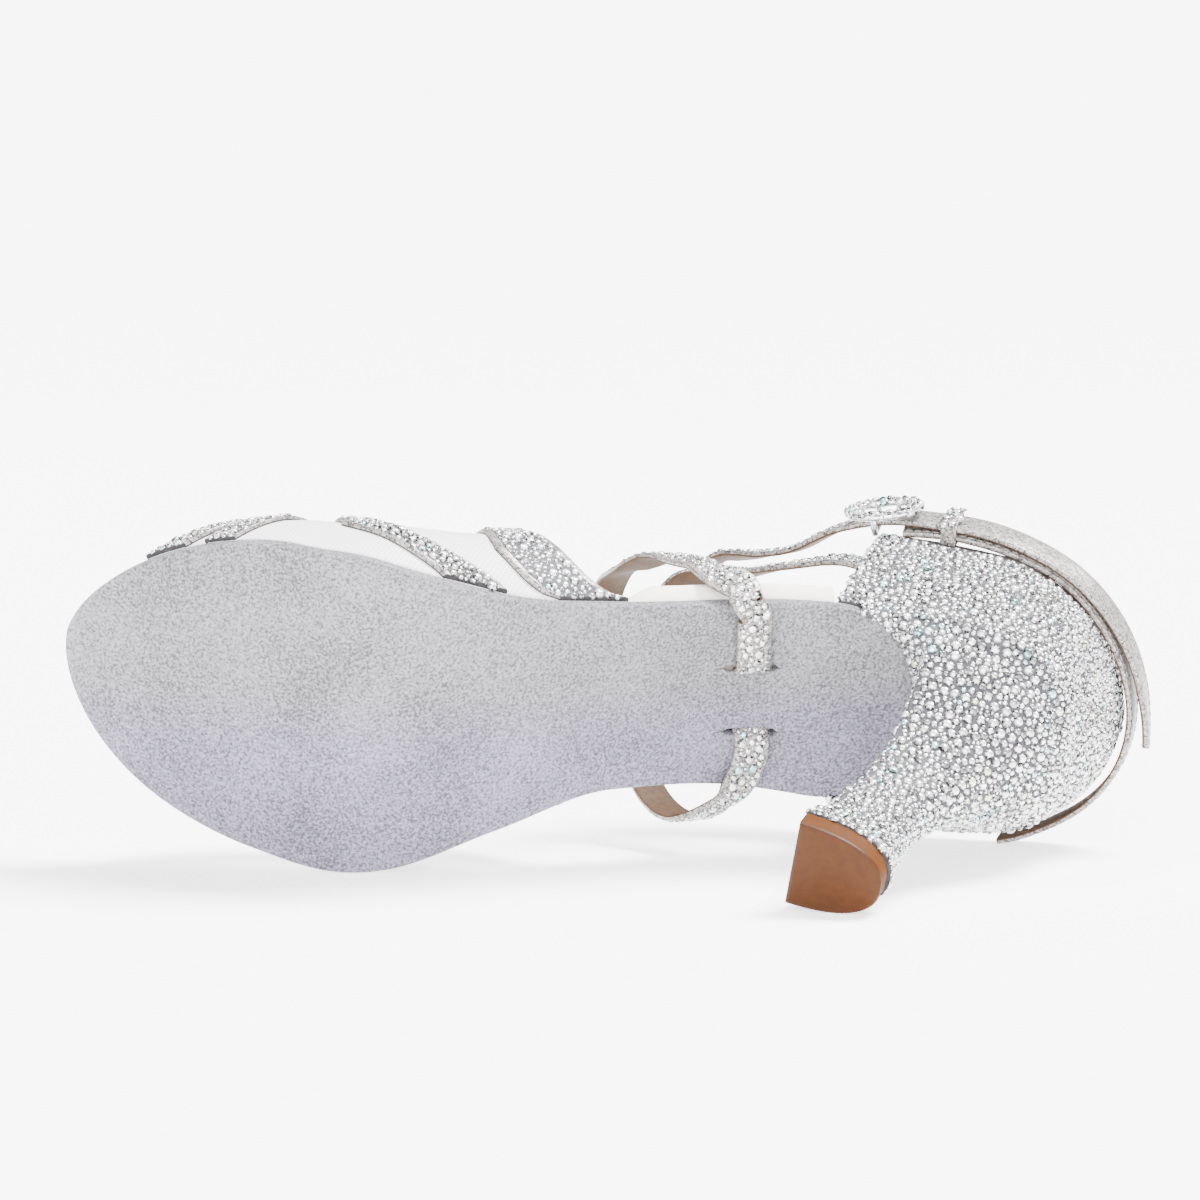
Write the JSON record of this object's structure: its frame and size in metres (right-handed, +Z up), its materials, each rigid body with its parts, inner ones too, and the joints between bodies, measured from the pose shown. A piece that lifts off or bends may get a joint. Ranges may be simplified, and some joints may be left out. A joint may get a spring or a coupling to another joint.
{
  "type": "ballroom dance shoe",
  "caption": "Open-toe high-heeled dance sandal for the left foot, lying on its side: suede sole, studded heel counter, mesh vamp with raised strips, arch strap and buckled ankle straps.",
  "frame": {"origin": "centre of the bounding box's bottom face; the shoe lies on its medial side and the floor is at zero height", "axes": "+X towards the toe, +Z up off the floor towards the shoe's lateral side, +Y from the collar towards the tread"},
  "size_m": [0.2304, 0.1284, 0.0817],
  "materials": {
    "suede": "brushed nap",
    "ivory_leather": "satin",
    "studded_heel": "covered in small clear stones",
    "tip_rubber": "matt",
    "studded_fabric": "covered in small clear stones",
    "mesh_fabric": "fine mesh with studded strips",
    "bright_metal": "polished, set with stones",
    "lining_leather": "matt"
  },
  "bodies": {
    "root": {"outsole": "suede", "insole": "ivory_leather", "heel": "studded_heel", "heel_tip": "tip_rubber", "counter": "studded_fabric", "vamp": "mesh_fabric", "arch_strap": "studded_fabric", "back_band": "studded_fabric", "ankle_strap": "studded_fabric", "instep_strap": "studded_fabric", "buckle_frame": "bright_metal", "keeper_loop": "lining_leather"}
  },
  "joints": []
}
